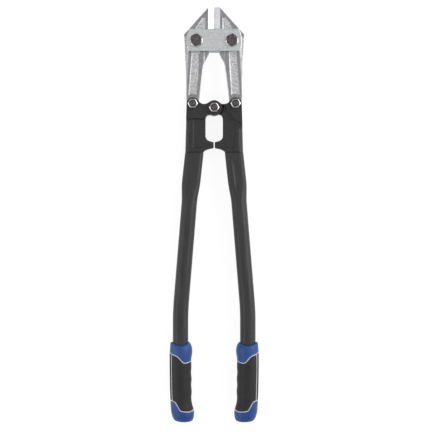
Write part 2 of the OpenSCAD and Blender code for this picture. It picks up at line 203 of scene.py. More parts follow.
# Milled margin: cleaner and paler than the forged skin, with a trace of the cutter.
milled_margin, tree, shader = finish("forged_steel_milled")
place = add(tree, "TexCoord").outputs["Object"]
passes = add(tree, "TexNoise", {"Vector": place, "Scale": 1 / (4 * MM), "Detail": 4.0, "Roughness": 0.6})
tone = add(tree, "ValToRGB", {"Fac": passes.outputs["Fac"]})
tone.color_ramp.elements[0].position = 0.3
tone.color_ramp.elements[0].color = linear("#D4D4D7")
tone.color_ramp.elements[1].position = 0.7
tone.color_ramp.elements[1].color = linear("#EAEAED")
tree.links.new(tone.outputs["Color"], shader.inputs["Base Color"])
shader.inputs["Metallic"].default_value = 1.0
shader.inputs["Roughness"].default_value = 0.36

# The step in the jaw's heel is coined flat by the press, which leaves it a shade duller than milling.
coined_step = milled_margin.copy()
coined_step.name = "jaw_steel_coined_flat"
tone = next(n for n in coined_step.node_tree.nodes if n.type == "VALTORGB")
tone.color_ramp.elements[0].color = linear("#A0A0A4")
tone.color_ramp.elements[1].color = linear("#B8B8BC")

FORGED, BLASTED, GROUND, MILLED, COINED = range(5)
JAW_GRAIN = 0.4 * MM
BEVEL_REACH = 8.8 * MM          # across the tool, from the cutting edge
BEVEL_LENGTH = 39 * MM
MARGIN_TOP = Vector((37.4 * MM, 240 * MM, 0))
MARGIN_FOOT = Vector((40.9 * MM, 178 * MM, 0))
MARGIN_END = 262 * MM           # the milled margin starts at the shoulder and runs down the jaw
MARGIN_FADE = 170 * MM          # where the margin has run out to nothing
MARGIN_DROP = 1.0 * MM
MARGIN_RAMP = 4 * MM
POCKET_DEPTH = 0.9 * MM
NOSE_POCKET_INSIDE = 10 * MM
TAIL_POCKET_INSIDE = 15.4 * MM
HEEL_DEPTH = 2 * MM
HEEL_REACH = 15.9 * MM
HEEL_FOOT = 220 * MM
HEEL_TOP = 247.5 * MM
ARCH_REACH = 24 * MM
ARCH_EDGE_REACH = 21.5 * MM
OUTER_FROM = 32 * MM            # the milled margin lies outside this
ARCH_FOOT = 168 * MM
ARCH_TOP = 221 * MM


def margin_side(x, y):
    """How far a point lies outside the inner line of the milled margin."""
    run = MARGIN_FOOT - MARGIN_TOP
    across = Vector((-run.y, run.x, 0)).normalized()
    return (Vector((abs(x), y, 0)) - MARGIN_TOP).dot(across)


def depth_of(point):
    """How far a point lies under the jaw's two broad faces."""
    return jaw_half - abs(point.z - middle)


def in_heel(point):
    """Whether a point is on or near the coined step at the jaw's heel, beside the opening."""
    return abs(point.x) < HEEL_REACH and HEEL_FOOT < point.y < HEEL_TOP


def in_bevel(point):
    """Whether a point is within the reach of the ground bevels."""
    return abs(point.x) < BEVEL_REACH and point.y > tip_y - BEVEL_LENGTH


def along_arch(point):
    """Whether a point is beside the opening between the jaws, below the heel."""
    return abs(point.x) < ARCH_REACH and ARCH_FOOT < point.y < ARCH_TOP


def floor_points(bm, depth):
    """The points on a recessed floor of the given depth."""
    return [v for v in bm.verts if abs(v.normal.z) > 0.99 and abs(depth_of(v.co) - depth) < 0.1 * MM]


def jaw_zone(face):
    """Which finish a face of a jaw has."""
    c = face.calc_center_median()
    depth = depth_of(c)
    upright = abs(face.normal.z)      # 1 on a broad face, 0 on a wall
    in_nose = c.y > MARGIN_END
    pocket_inside = NOSE_POCKET_INSIDE if in_nose else TAIL_POCKET_INSIDE
    if in_bevel(c) and 0.5 < upright < 0.96:
        return GROUND
    if in_heel(c) and depth > 0.3 * MM and upright > 0.15 and abs(c.x) > 4 * MM:
        return COINED if upright > 0.9 and depth > 1.5 * MM else MILLED
    if along_arch(c) and 0.12 < upright < 0.97 and depth < 4 * MM and abs(c.x) < ARCH_EDGE_REACH:
        return MILLED
    if 0.2 * MM < depth < 1.6 * MM and upright > 0.85 and abs(c.x) > pocket_inside:
        return BLASTED
    if margin_side(c.x, c.y) > 0 and not in_nose:
        return MILLED
    return FORGED


def cut_along(bm, faces, place, facing):
    """Cuts the faces where a plane crosses them, so that two finishes meet in a clean line."""
    edges = list(dict.fromkeys(e for f in faces for e in f.edges))
    verts = list(dict.fromkeys(v for f in faces for v in f.verts))
    bmesh.ops.bisect_plane(bm, geom=faces + edges + verts, dist=0.0001 * MM, plane_co=place,
                           plane_no=facing)


def even_seams(bm, passes):
    """Draws out the small steps in the lines where one finish meets another."""
    beside = {}
    for e in bm.edges:
        if len({f.material_index for f in e.link_faces}) == 2 and not in_bevel(e.verts[0].co):
            beside.setdefault(e.verts[0], []).append(e.verts[1])
            beside.setdefault(e.verts[1], []).append(e.verts[0])
    for _ in range(passes):
        moved = {v: sum((n.co for n in near), Vector()) / len(near) for v, near in beside.items()}
        for v, target in moved.items():
            v.co = v.co.lerp(target, 0.5)
    bm.normal_update()


for side, sign in SIDES.items():
    bm = forged_copy("jaw_" + side, JAW_GRAIN)
    soften(bm, [v for v in bm.verts if not in_bevel(v.co)], 0, 3)
    soften(bm, [v for v in bm.verts if along_arch(v.co) and 0.2 < abs(v.normal.z) < 0.95], 4, 16)
    soften(bm, floor_points(bm, HEEL_DEPTH), 3, 5)
    soften(bm, floor_points(bm, POCKET_DEPTH), 4, 9)
    for v in bm.verts:
        outside = margin_side(v.co.x, v.co.y)
        if outside > 0 and MARGIN_FADE < v.co.y < MARGIN_END:
            share = (v.co.y - MARGIN_FADE) / (MARGIN_END - MARGIN_FADE)
            fall = MARGIN_DROP * share * min(1, outside / MARGIN_RAMP)
            v.co.z = middle + (v.co.z - middle) * (1 - fall / jaw_half)
    top = Vector((sign * MARGIN_TOP.x, MARGIN_TOP.y, 0))
    foot = Vector((sign * MARGIN_FOOT.x, MARGIN_FOOT.y, 0))
    run = (foot - top).normalized()
    outer = [f for f in bm.faces if abs(f.verts[0].co.x) > OUTER_FROM]
    beside = [f for f in outer if MARGIN_FADE < f.verts[0].co.y < MARGIN_END + 4 * MM]
    cut_along(bm, beside, top, Vector((-run.y, run.x, 0)))
    outer = [f for f in bm.faces if abs(f.verts[0].co.x) > OUTER_FROM]
    shoulder = [f for f in outer if abs(f.verts[0].co.y - MARGIN_END) < 2 * MM]
    cut_along(bm, shoulder, Vector((0, MARGIN_END, 0)), Vector((0, 1, 0)))
    bm.normal_update()
    for face in bm.faces:
        face.material_index = jaw_zone(face)
    even_seams(bm, 12)
    piece("jaw_forging_" + side, bm, "jaw_" + side, ["jaw_" + side],
          [forged_skin, blasted_floor, ground_bevel, milled_margin, coined_step])

# ---- Link plates ------------------------------------------------------------------------------
# Two blanked steel plates that hold the jaws at their distance. They are tumbled, so their edges
# are soft, and belt-ground to a pale satin.

satin_plate, tree, shader = finish("plate_steel_satin")
place = add(tree, "TexCoord").outputs["Object"]
belt = add(tree, "Mapping", {"Vector": place, "Scale": (1 / (11 * MM), 1 / (1.5 * MM), 1 / (5 * MM))})
streaks = add(tree, "TexNoise", {"Vector": belt.outputs["Vector"], "Scale": 1.0, "Detail": 3.0})
# The tumbled mottle is about 0.5 mm across; it is drawn at 3 mm so that it shows.
mottle = add(tree, "TexNoise", {"Vector": place, "Scale": 1 / (3 * MM), "Detail": 4.0, "Roughness": 0.7})
drawn = add(tree, "Mix", {"Factor": 0.6, "A": streaks.outputs["Fac"], "B": mottle.outputs["Fac"]},
           data_type="FLOAT")
tone = add(tree, "ValToRGB", {"Fac": drawn.outputs["Result"]})
tone.color_ramp.elements[0].position = 0.33
tone.color_ramp.elements[0].color = linear("#C9CACC")
tone.color_ramp.elements[1].position = 0.68
tone.color_ramp.elements[1].color = linear("#F6F7FA")
tree.links.new(tone.outputs["Color"], shader.inputs["Base Color"])
relief = add(tree, "Bump", {"Height": drawn.outputs["Result"], "Strength": 0.12, "Distance": 0.15 * MM})
tree.links.new(relief.outputs["Normal"], shader.inputs["Normal"])
shader.inputs["Metallic"].default_value = 1.0
shader.inputs["Roughness"].default_value = 0.38

HOLE_REACH = 6 * MM
TUMBLED = 0.9 * MM
STANDS_OUT = math.radians(20)


def pivot_of(joint):
    """Where a joint's axis stands."""
    at = Vector(joints[joint]["pos_m"])
    return Vector((at.x, at.y, 0))


def on_outline(edge):
    """Whether an edge is on a plate's outline, and not round a hole for a bolt."""
    c = (edge.verts[0].co + edge.verts[1].co) / 2
    return all((pivot_of("jaw_" + side + "_pivot").xy - c.xy).length > HOLE_REACH for side in SIDES)


for node in ("front_plate", "back_plate"):
    bm = joined_copy(node)
    edges = [e for e in bm.edges if e.is_manifold and e.calc_face_angle() > STANDS_OUT and on_outline(e)]
    bmesh.ops.bevel(bm, geom=edges, offset=TUMBLED, offset_type="OFFSET", affect="EDGES", segments=3,
                    profile=0.5, material=-1, clamp_overlap=False)
    piece(node.replace("plate", "link_plate"), bm, "head_plates", [node], [satin_plate])

# ---- Jaw bolts, their nuts and washers ----------------------------------------------------------
# Cold-headed M10 bolts and thin nuts, blackened in hot oxide, with the corners of the hexagons
# turned off. The washers under them are bright zinc.

black_oxide, tree, shader = finish("bolt_steel_black_oxide")
place = add(tree, "TexCoord").outputs["Object"]
bloom = add(tree, "TexNoise", {"Vector": place, "Scale": 1 / (3 * MM), "Detail": 4.0, "Roughness": 0.7})
tone = add(tree, "ValToRGB", {"Fac": bloom.outputs["Fac"]})
tone.color_ramp.elements[0].position = 0.3
tone.color_ramp.elements[0].color = linear("#453F40")
tone.color_ramp.elements[1].position = 0.75
tone.color_ramp.elements[1].color = linear("#878182")
tree.links.new(tone.outputs["Color"], shader.inputs["Base Color"])
relief = add(tree, "Bump", {"Height": bloom.outputs["Fac"], "Strength": 0.3, "Distance": 0.3 * MM})
tree.links.new(relief.outputs["Normal"], shader.inputs["Normal"])
shader.inputs["Metallic"].default_value = 1.0
shader.inputs["Roughness"].default_value = 0.4

bright_zinc, tree, shader = finish("steel_bright_zinc_plated")
place = add(tree, "TexCoord").outputs["Object"]
spangle = add(tree, "TexNoise", {"Vector": place, "Scale": 1 / (2.5 * MM), "Detail": 2.0})
tone = add(tree, "ValToRGB", {"Fac": spangle.outputs["Fac"]})
tone.color_ramp.elements[0].color = linear("#A9A9A8")
tone.color_ramp.elements[1].color = linear("#E6E6E4")
tree.links.new(tone.outputs["Color"], shader.inputs["Base Color"])
shader.inputs["Metallic"].default_value = 1.0
shader.inputs["Roughness"].default_value = 0.22

TAN30 = math.tan(math.radians(30))
JAW_FLATS = 16
JAW_CORNER_R = 6.9              # where the corners of the jaw bolts' hexagons are turned off


def turned(profile, centre, across_flats=0.0, corner=0.0, cone=None, finish_of=None):
    """A profile of radii and heights in mm, spun about an upright axis. With across_flats, six flats
    cut it off wherever it is wider, and cone is the radius and height where its corners are turned
    off, and which way that end faces."""
    bm = bmesh.new()
    chain = [bm.verts.new((radius * MM, 0, height * MM)) for radius, height in profile]
    for pair in zip(chain, chain[1:]):
        bm.edges.new(pair)
    bmesh.ops.spin(bm, geom=bm.verts[:] + bm.edges[:], cent=(0, 0, 0), axis=(0, 0, 1),
                   angle=2 * math.pi, steps=72, use_merge=True)
    bmesh.ops.remove_doubles(bm, verts=bm.verts, dist=0.001 * MM)
    bmesh.ops.recalc_face_normals(bm, faces=bm.faces)
    for face in bm.faces:
        c = face.calc_center_median()
        face.material_index = finish_of(Vector((c.x, c.y)).length / MM, c.z / MM) if finish_of else 0
    for v in bm.verts:
        if not across_flats:
            break
        radius = Vector((v.co.x, v.co.y)).length
        off_flat = math.atan2(v.co.y, v.co.x) % math.radians(60) - math.radians(30)
        flat = across_flats / 2 * MM / math.cos(off_flat)
        if radius > flat:
            start, end, facing = cone
            slope_here = end - facing * TAN30 * (radius / MM - start)
            at_end = facing * (v.co.z / MM - slope_here) > -0.001
            v.co.x *= flat / radius
            v.co.y *= flat / radius
            if at_end:
                v.co.z = (end - facing * TAN30 * (flat / MM - start)) * MM
    bm.transform(Matrix.Translation(centre) @ Matrix.Rotation(corner, 4, "Z"))
    return bm


def both(first, second):
    """Two meshes as one."""
    joined = bpy.data.meshes.new("joined")
    second.to_mesh(joined)
    second.free()
    first.from_mesh(joined)
    bpy.data.meshes.remove(joined)
    return first


for node, seated, outward in (("front_washers", 0, 1), ("back_washers", 1, -1)):
    ends = [corner.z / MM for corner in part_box(node)]
    thick = ends[1] - ends[0]
    rim = [(5.3, 0), (8.9, 0), (9.25, 0.3), (9.2, 0.6), (8.0, thick), (5.3, thick), (5.3, 0)]
    section = [(radius, ends[seated] + outward * height) for radius, height in rim]
    bm = both(turned(section, pivot_of("jaw_left_pivot")), turned(section, pivot_of("jaw_right_pivot")))
    piece(node + "_turned", bm, "head_plates", [node], [bright_zinc])

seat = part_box("front_washers")[1].z / MM
head_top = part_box("jaw_bolt_left")[1].z / MM
nut_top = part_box("jaw_nut_left")[1].z / MM
for side, corner in (("left", 24), ("right", 26)):
    at = pivot_of("jaw_" + side + "_pivot")
    wide = JAW_FLATS / math.sqrt(3)
    drop = TAN30 * (wide - JAW_CORNER_R)
    section = [(0, 0), (4.2, 0), (4.9, 0.7), (4.9, seat), (wide, seat), (wide, head_top - drop),
               (JAW_CORNER_R, head_top), (5.0, head_top), (4.2, head_top - 0.5), (0, head_top - 0.35)]
    bm = turned(section, at, JAW_FLATS, math.radians(corner), (JAW_CORNER_R, head_top, 1))
    piece("jaw_bolt_headed_" + side, bm, "head_plates", ["jaw_bolt_" + side],
          [black_oxide])

    section = [(5.03, nut_top), (wide, nut_top), (wide, drop), (JAW_CORNER_R, 0), (5.7, 0), (5.03, 0.6),
               (5.03, nut_top)]
    bm = turned(section, at, JAW_FLATS, 0, (JAW_CORNER_R, 0, -1))
    piece("jaw_nut_thin_" + side, bm, "head_plates", ["jaw_nut_" + side],
          [black_oxide])

# ---- Handle heads -------------------------------------------------------------------------------
# Drop forgings that fork over the jaws' tails and meet at the centre bolt. They are trimmed, blasted
# and powder-coated dark grey together with the tubes, so every edge is soft under the coat.

# The heads keep the pitted skin of a forging under the coat, about 0.6 mm; it is drawn at 1.6 mm.
coated_forging, tree, shader = finish("powder_coat_on_forged_skin")
place = add(tree, "TexCoord").outputs["Object"]
pits = add(tree, "TexNoise", {"Vector": place, "Scale": 1 / (1.6 * MM), "Detail": 3.0, "Roughness": 0.65})
tone = add(tree, "ValToRGB", {"Fac": pits.outputs["Fac"]})
tone.color_ramp.elements[0].position = 0.36
tone.color_ramp.elements[0].color = linear("#252324")
tone.color_ramp.elements[1].position = 0.64
tone.color_ramp.elements[1].color = linear("#3A3839")
tree.links.new(tone.outputs["Color"], shader.inputs["Base Color"])
relief = add(tree, "Bump", {"Height": pits.outputs["Fac"], "Strength": 0.5, "Distance": 0.35 * MM})
tree.links.new(relief.outputs["Normal"], shader.inputs["Normal"])
shader.inputs["Roughness"].default_value = 0.42
shader.inputs["IOR"].default_value = 1.42

tube_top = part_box("tube_right")[1].y
toggle = Vector(joints["handle_right_pivot"]["pos_m"])
HEAD_GRAIN = 0.5 * MM
EAR_R = 9.2 * MM                # the head's reach outside the toggle pivot
HEAD_FOOT_X = 42.6 * MM         # its outer side at the tube
RIB_HALF = 8.5 * MM
RIB_ROUND = 8 * MM
ROUND_RUN = 6 * MM              # over this length the rounding sets in below the cheek
CHEEK_LENGTHS = {"left": 22.1 * MM, "right": 31 * MM}


def head_side(y):
    """Where the head's outer side is, which runs out a little from the toggle pivot to the tube."""
    share = (toggle.y - y) / (toggle.y - tube_top)
    return toggle.x + EAR_R + share * (HEAD_FOOT_X - toggle.x - EAR_R)


for side in SIDES:
    cheek_foot = toggle.y - CHEEK_LENGTHS[side]
    bm = forged_copy("head_" + side, HEAD_GRAIN)
    soften(bm, bm.verts, 0, 9)
    # The outer rib is forged half round, to carry on the tube's line.
    for v in bm.verts:
        rounding = RIB_ROUND * max(0, min(1, (cheek_foot - v.co.y) / ROUND_RUN))
        inside = head_side(v.co.y) - abs(v.co.x)
        height = abs(v.co.z - middle)
        if rounding > 0 and tube_top < v.co.y and inside < rounding and height > RIB_HALF - rounding:
            spoke = Vector((inside - rounding, height - (RIB_HALF - rounding)))
            if spoke.length > rounding:
                spoke *= rounding / spoke.length
                v.co.x = math.copysign(head_side(v.co.y) - rounding - spoke.x, v.co.x)
                v.co.z = middle + math.copysign(RIB_HALF - rounding + spoke.y, v.co.z - middle)
    bm.normal_update()
    piece("head_forging_" + side, bm, "handle_" + side, ["head_" + side], [coated_forging])

# ---- Toggle and centre bolts --------------------------------------------------------------------
# Three shouldered bolts with black heads at the back. Self-locking zinc nuts sit on them at the
# front: a hexagon, a rolled collar over it, and a dark nylon ring that grips the thread.

nylon_ring, tree, shader = finish("nylon_insert_moulded")
place = add(tree, "TexCoord").outputs["Object"]
dust = add(tree, "TexNoise", {"Vector": place, "Scale": 1 / (1.5 * MM), "Detail": 2.0})
tone = add(tree, "ValToRGB", {"Fac": dust.outputs["Fac"]})
tone.color_ramp.elements[0].color = linear("#2E2C2C")
tone.color_ramp.elements[1].color = linear("#444141")
tree.links.new(tone.outputs["Color"], shader.inputs["Base Color"])
shader.inputs["Roughness"].default_value = 0.5
shader.inputs["IOR"].default_value = 1.53

TOGGLE_FLATS = 15
TOGGLE_CORNER_R = 6.4
LOCK_FLATS = 13
LOCK_CORNER_R = 6.1
COLLAR_HEIGHT = 1.1
cheek_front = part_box("head_left")[1].z / MM
cheek_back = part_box("head_left")[0].z / MM
fasteners = {
    "toggle_left": ("toggle_bolt_left", "toggle_nut_left", "handle_left"),
    "toggle_right": ("toggle_bolt_right", "toggle_nut_right", "handle_right"),
    "centre": ("centre_bolt", "centre_nut", "handle_left"),
}
for name, (bolt, nut, body) in fasteners.items():
    low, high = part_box(nut)
    at = Vector(((low.x + high.x) / 2, (low.y + high.y) / 2, 0))
    foot = low.z / MM
    top = high.z / MM
    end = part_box(bolt)[1].z / MM
    head_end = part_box(bolt)[0].z / MM
    wide = TOGGLE_FLATS / math.sqrt(3)
    drop = TAN30 * (wide - TOGGLE_CORNER_R)
    shoulder = cheek_front + 0.05
    section = [(0, head_end + 0.3), (3.6, head_end + 0.4), (4.4, head_end), (TOGGLE_CORNER_R, head_end),
               (wide, head_end + drop), (wide, cheek_back), (5, cheek_back), (5, shoulder), (4, shoulder),
               (4, top - 1.0), (3.55, top - 0.6), (4, top - 0.2), (3.6, top + 0.2), (4, top + 0.6),
               (3.5, end), (2.4, end), (1.6, end - 0.25), (0, end - 0.3)]
    bm = turned(section, at, TOGGLE_FLATS, 0, (TOGGLE_CORNER_R, head_end, -1))
    piece(name + "_shoulder_bolt", bm, body, [bolt], [black_oxide])

    wide = LOCK_FLATS / math.sqrt(3)
    drop = TAN30 * (wide - LOCK_CORNER_R)
    hex_top = top - COLLAR_HEIGHT
    section = [(4.03, foot), (wide, foot), (wide, hex_top - drop), (LOCK_CORNER_R, hex_top),
               (LOCK_CORNER_R, hex_top + 0.4), (5.95, top - 0.25), (5.6, top), (5.2, top),
               (5.0, top - 0.2), (4.95, top - 0.6), (4.05, top - 0.7), (4.03, foot)]
    bm = turned(section, at, LOCK_FLATS, 0, (LOCK_CORNER_R, hex_top, 1),
                lambda radius, height: 1 if radius < 5.0 and height > top - 0.8 else 0)
    piece(name + "_lock_nut", bm, body, [nut], [bright_zinc, nylon_ring])

# ---- Handle tubes -------------------------------------------------------------------------------
# Drawn 22 mm steel tube, pressed to an oblong over the head's tang, with a slight elbow below it
# and a knee above the grip, under the same dark grey coat as the heads.

dark_coat, tree, shader = finish("powder_coat_dark_grey")
place = add(tree, "TexCoord").outputs["Object"]
# Drawing the tube leaves faint lines along it, about 0.5 mm wide; they are drawn 3 mm wide.
drawing = add(tree, "Mapping", {"Vector": place, "Scale": (1 / (3 * MM), 1 / (45 * MM), 1 / (3 * MM))})
lines = add(tree, "TexNoise", {"Vector": drawing.outputs["Vector"], "Scale": 1.0, "Detail": 3.0})
tone = add(tree, "ValToRGB", {"Fac": lines.outputs["Fac"]})
tone.color_ramp.elements[0].position = 0.32
tone.color_ramp.elements[0].color = linear("#302E2F")
tone.color_ramp.elements[1].position = 0.68
tone.color_ramp.elements[1].color = linear("#3D3B3D")
tree.links.new(tone.outputs["Color"], shader.inputs["Base Color"])
# The coat's orange peel is about 0.5 mm across; it is drawn at 2 mm so that it shows.
peel = add(tree, "TexNoise", {"Vector": place, "Scale": 1 / (2 * MM), "Detail": 2.0, "Roughness": 0.5})
relief = add(tree, "Bump", {"Height": peel.outputs["Fac"], "Strength": 0.2, "Distance": 0.2 * MM})
tree.links.new(relief.outputs["Normal"], shader.inputs["Normal"])
shader.inputs["Roughness"].default_value = 0.45
shader.inputs["IOR"].default_value = 1.42

tube_low, tube_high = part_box("tube_right")
TUBE_TOP_X = 29.2
TUBE_R = 11.0
WIDER = 0.4             # each side: the tube is made 22.8 mm across, a little over its nominal 22 mm
FLAT_HALF_WIDTH = 13.7
FLAT_HALF_DEPTH = 7.3
UPPER_SLOPE = math.tan(math.radians(6.2))
LOWER_SLOPE = math.tan(math.radians(4.65))
FLAT_LENGTH = 42
ROUND_FROM = 76
ELBOW_AT = 52
ELBOW_LENGTH = 30
KNEE_LENGTH = 34
GRIP_X = 49.6
KNEE_AT = ELBOW_AT + (GRIP_X - TUBE_TOP_X - UPPER_SLOPE * ELBOW_AT) / LOWER_SLOPE


def eased(u):
    """A slope that sets in gently from 0 to 1."""
    return 0 if u < 0 else u * u / 2 if u < 1 else u - 0.5


def tube_x(s):
    """Where the tube's middle line is across the tool, s below the head, in mm."""
    elbow = eased((s - ELBOW_AT) / ELBOW_LENGTH + 0.5) * ELBOW_LENGTH
    knee = eased((s - KNEE_AT) / KNEE_LENGTH + 0.5) * KNEE_LENGTH
    return TUBE_TOP_X + UPPER_SLOPE * s + (LOWER_SLOPE - UPPER_SLOPE) * elbow - LOWER_SLOPE * knee


def drawn_out(bm, start, rows, place):
    """Extrudes the edges of start row by row. place(row, turn) says where each point goes."""
    turn = bm.verts.layers.float["turn"]
    edges = list(start)
    for count, row in enumerate(rows):
        if count:
            made = bmesh.ops.extrude_edge_only(bm, edges=edges)["geom"]
            ring = {v for v in made if isinstance(v, bmesh.types.BMVert)}
            edges = [e for e in made if isinstance(e, bmesh.types.BMEdge) and set(e.verts) <= ring]
        for v in dict.fromkeys(v for e in edges for v in e.verts):
            v.co = place(row, v[turn])
    return edges


def ring_of(bm, segments):
    """A closed ring of edges whose points remember their angle about the axis."""
    turn = bm.verts.layers.float.get("turn") or bm.verts.layers.float.new("turn")
    made = bmesh.ops.create_circle(bm, segments=segments, radius=1.0)["verts"]
    for v in made:
        v[turn] = math.atan2(v.co.y, v.co.x)
    return list(dict.fromkeys(e for v in made for e in v.link_edges))


# Pressing a tube on to its tang leaves a shallow dent down the front, plainer on the right one.
DENTS = {"left": 0.15, "right": 2.0}
DENT_FROM = 9
DENT_TO = 54
DENT_HALF_WIDTH = 3.8
DENT_MIDDLE = -1.2
WALL = 2.0
LIP = 0.5               # the rounding of the tube's cut end
TUBE_RING = 160

for side, sign in SIDES.items():

    def tube_point(row, turn):
        """A row is how far below the head it is and how far inside the outer skin, in mm."""
        s, inset = row
        u = max(0, min(1, (s - FLAT_LENGTH) / (ROUND_FROM - FLAT_LENGTH)))
        to_round = u * u * (3 - 2 * u)
        depth = FLAT_HALF_DEPTH + (TUBE_R - FLAT_HALF_DEPTH) * to_round
        width = FLAT_HALF_WIDTH + (TUBE_R + WIDER - FLAT_HALF_WIDTH) * to_round
        across = (depth - inset) * math.cos(turn) + (width - depth) * max(-1, min(1, 4 * math.cos(turn)))
        height = (depth - inset) * math.sin(turn)
        reach = max(0, 1 - ((across - DENT_MIDDLE) / DENT_HALF_WIDTH) ** 2)
        share = (s - DENT_FROM) / (DENT_TO - DENT_FROM)
        if 0 < share < 1 and height > 0 and not inset:
            height -= DENTS[side] * reach ** 2 * math.sin(share * math.pi) ** 0.6
        return Vector((sign * (tube_x(s) + across) * MM, tube_high.y - s * MM, middle + height * MM))

    length = (tube_high.y - tube_low.y) / MM
    stations = [LIP] + [2 * i for i in range(1, int(length / 2))] + [length]
    rows = [(6, WALL), (LIP, WALL), (0, WALL - LIP), (0, LIP)]
    rows += [(s, 0) for s in stations] + [(length, WALL), (length - 4, WALL)]
    bm = bmesh.new()
    drawn_out(bm, ring_of(bm, TUBE_RING), rows, tube_point)
    bmesh.ops.recalc_face_normals(bm, faces=bm.faces)
    piece("handle_tube_" + side, bm, "handle_" + side, ["tube_" + side], [dark_coat])

# ---- Grips --------------------------------------------------------------------------------------
# Each grip is moulded in three shots over a hard grey sleeve: a black hand piece, a blue collar and
# a blue end cap, all soft thermoplastic rubber. The sleeve shows as raised piping between them.

grip_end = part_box("grip_cap_right")[0].y
GRIP_LENGTH = 117
BORE_R = 11.5
SKIN_R = 16.2
DEEPEST_R = 16.35
PIPING_WIDTH = 1.6
PIPING_LIFT = 0.35
RIB_TURN = math.acos(13.0 / SKIN_R)
RIM_SAG = 4.5
RIM_ROUND = 2.4
FINGERS_FROM = 25.5
FINGER_WIDTH = 18.5

# Height above the grip's end, outer edge and inner edge, in mm from the middle of the tool.
SECTIONS = [(0, 54, 35), (1.2, 57.6, 32.4), (4.9, 60.6, 30.4), (10.8, 62.7, 29.6), (15, 63.6, 29.8),
            (20, 64.0, 30.9), (24.5, 64.2, 32.2), (28.5, 64.4, 32.9), (46, 65.2, 33.1),
            (80, 65.8, 33.5), (92, 65.8, 33.7), (99, 65.7, 32.6), (105, 65.4, 32.2),
            (111, 65.0, 33.2), (117, 64.6, 34.6)]
# Distance outward from the grip's axis and height above its end, along each seam.
COLLAR_SEAM = [(-20, 92.0), (-15.5, 89.2), (-11.5, 87.8), (-7.5, 87.2), (-5.2, 87.7), (-3.0, 89.3),
               (0.8, 93.6), (5.1, 97.3), (11.8, 99.8), (15.5, 102.2), (20, 104.5)]
CAP_SEAM = [(-20, 19.6), (-13, 16.3), (-8, 15.9), (0, 16.9), (2.4, 18.0), (4.0, 20.8), (7.0, 27.4),
            (9.2, 30.0), (12.5, 31.4), (20, 32.4)]


def along(stations, at, column=1):
    """A smooth line through the stations."""
    last = len(stations) - 2
    k = max(i for i in range(last + 1) if i == 0 or stations[i][0] <= at)
    a, b = stations[k], stations[k + 1]
    before, after = stations[max(0, k - 1)], stations[min(last + 1, k + 2)]
    slope_a = (b[column] - before[column]) / (b[0] - before[0])
    slope_b = (after[column] - a[column]) / (after[0] - a[0])
    span = b[0] - a[0]
    t = max(0, min(1, (at - a[0]) / span))
    return ((2 * t ** 3 - 3 * t ** 2 + 1) * a[column] + (t ** 3 - 2 * t ** 2 + t) * span * slope_a
            + (3 * t ** 2 - 2 * t ** 3) * b[column] + (t ** 3 - t ** 2) * span * slope_b)


def rim_height(turn):
    """The collar's rim dips at the front and back, beside the tube."""
    return GRIP_LENGTH - RIM_SAG * math.sin(turn) ** 2


def grip_point(sign, turn, height, lift=0.0):
    """A point of the grip's skin, or lifted off it, at an angle round it and a height in mm."""
    outer = along(SECTIONS, height, 1)
    inner = along(SECTIONS, height, 2)
    radius = (outer - inner) / 2
    inward = max(0, -math.cos(turn)) ** 2
    if FINGERS_FROM < height < FINGERS_FROM + 3 * FINGER_WIDTH:
        lift -= 0.3 * inward * (1 - math.cos((height - FINGERS_FROM) / FINGER_WIDTH * 2 * math.pi))
    below_rim = max(0, rim_height(turn) - height)
    if below_rim < 8:
        lift -= 0.9 * (1 - math.cos(turn)) * (1 - below_rim / 8) ** 2
    if below_rim < RIM_ROUND:
        lift -= RIM_ROUND * (1 - math.sqrt(1 - (1 - below_rim / RIM_ROUND) ** 2))
    depth = min(radius, DEEPEST_R)
    x = (outer + inner) / 2 + (radius + lift) * math.cos(turn)
    return Vector((sign * x * MM, grip_end + height * MM, middle + (depth + lift) * math.sin(turn) * MM))


def seam(stations, turn, offset=0.0):
    """Angle and height of a point on a seam, moved sideways from it by offset, along the skin."""
    radius = 16.3
    step = 0.02
    height = along(stations, radius * math.cos(turn))
    rise = along(stations, radius * math.cos(turn + step)) - along(stations, radius * math.cos(turn - step))
    tangent = Vector((2 * step * radius, rise)).normalized()
    return turn - tangent.y * offset / radius, height + tangent.x * offset


moulded = {
    "blue": ("tpr_moulded_blue", "#1A488A", "#205398", 0.5),
    "cap_blue": ("tpr_moulded_deep_blue", "#153F84", "#1C4A92", 0.5),
    "black": ("tpr_moulded_black", "#1B1B1B", "#232323", 0.62),
    "grey": ("polypropylene_moulded_grey", "#B9BDC6", "#C9CDD6", 0.45),
}
rubber = {}
for key, (name, dark, light, roughness) in moulded.items():
    rubber[key], tree, shader = finish(name)
    place = add(tree, "TexCoord").outputs["Object"]
    wear = add(tree, "TexNoise", {"Vector": place, "Scale": 1 / (11 * MM), "Detail": 4.0, "Roughness": 0.6})
    tone = add(tree, "ValToRGB", {"Fac": wear.outputs["Fac"]})
    tone.color_ramp.elements[0].position = 0.3
    tone.color_ramp.elements[0].color = linear(dark)
    tone.color_ramp.elements[1].position = 0.7
    tone.color_ramp.elements[1].color = linear(light)
    tree.links.new(tone.outputs["Color"], shader.inputs["Base Color"])
    # The mould's spark texture is about 0.2 mm across; it is drawn at 1.2 mm so that it shows.
    grain = add(tree, "TexNoise",
                {"Vector": place, "Scale": 1 / (1.2 * MM), "Detail": 2.0, "Roughness": 0.6})
    relief = add(tree, "Bump", {"Height": grain.outputs["Fac"], "Strength": 0.25, "Distance": 0.15 * MM})
    tree.links.new(relief.outputs["Normal"], shader.inputs["Normal"])
    shader.inputs["Roughness"].default_value = roughness
    shader.inputs["IOR"].default_value = 1.5

TUCK = 0.9        # how deep an edge of a soft piece turns in under the piping, in mm
RING = 96

